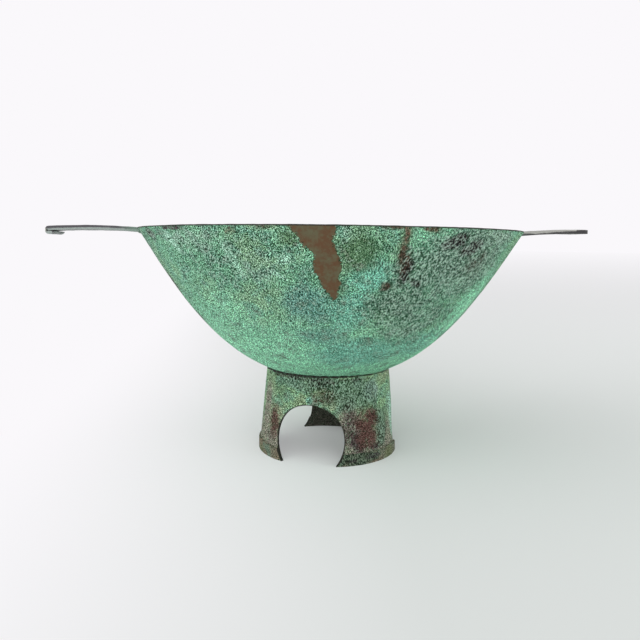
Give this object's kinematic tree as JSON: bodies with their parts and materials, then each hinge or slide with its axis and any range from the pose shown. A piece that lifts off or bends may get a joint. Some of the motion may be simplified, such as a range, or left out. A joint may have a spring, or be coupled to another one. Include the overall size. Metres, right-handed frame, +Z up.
{
  "type": "centerpiece bowl",
  "caption": "Wide round footed bowl with flat strap handles out from its rim, on a tapered foot cut into legs by round arches; a table centerpiece for fruit or decoration.",
  "frame": {"origin": "on the bowl's axis, in the plane of the soles that it stands on", "axes": "+Z up along the bowl's axis; +X along the handles, towards the handle with the plain end; -Y is the side that the picture shows"},
  "size_m": [0.432, 0.3, 0.1815],
  "materials": {
    "bowl_verdigris": "matte green verdigris crust with dark speckle, worn to bare brown copper alloy in streaks",
    "foot_verdigris": "matte green and olive verdigris over red-brown oxide",
    "band_bronze": "dark olive oxide with green verdigris in its corners",
    "strap_grey": "satin grey oxide, hand-rubbed, with green verdigris near the rim",
    "braze_dark": "dark crusted filler metal"
  },
  "bodies": {
    "root": {"bowl": "bowl_verdigris", "foot_skirt": "foot_verdigris", "foot_band_left": "band_bronze", "foot_band_front": "band_bronze", "foot_band_back": "band_bronze", "foot_braze": "braze_dark", "handle_left": "strap_grey", "handle_braze_left": "braze_dark", "handle_right": "strap_grey", "handle_braze_right": "braze_dark"}
  },
  "joints": []
}
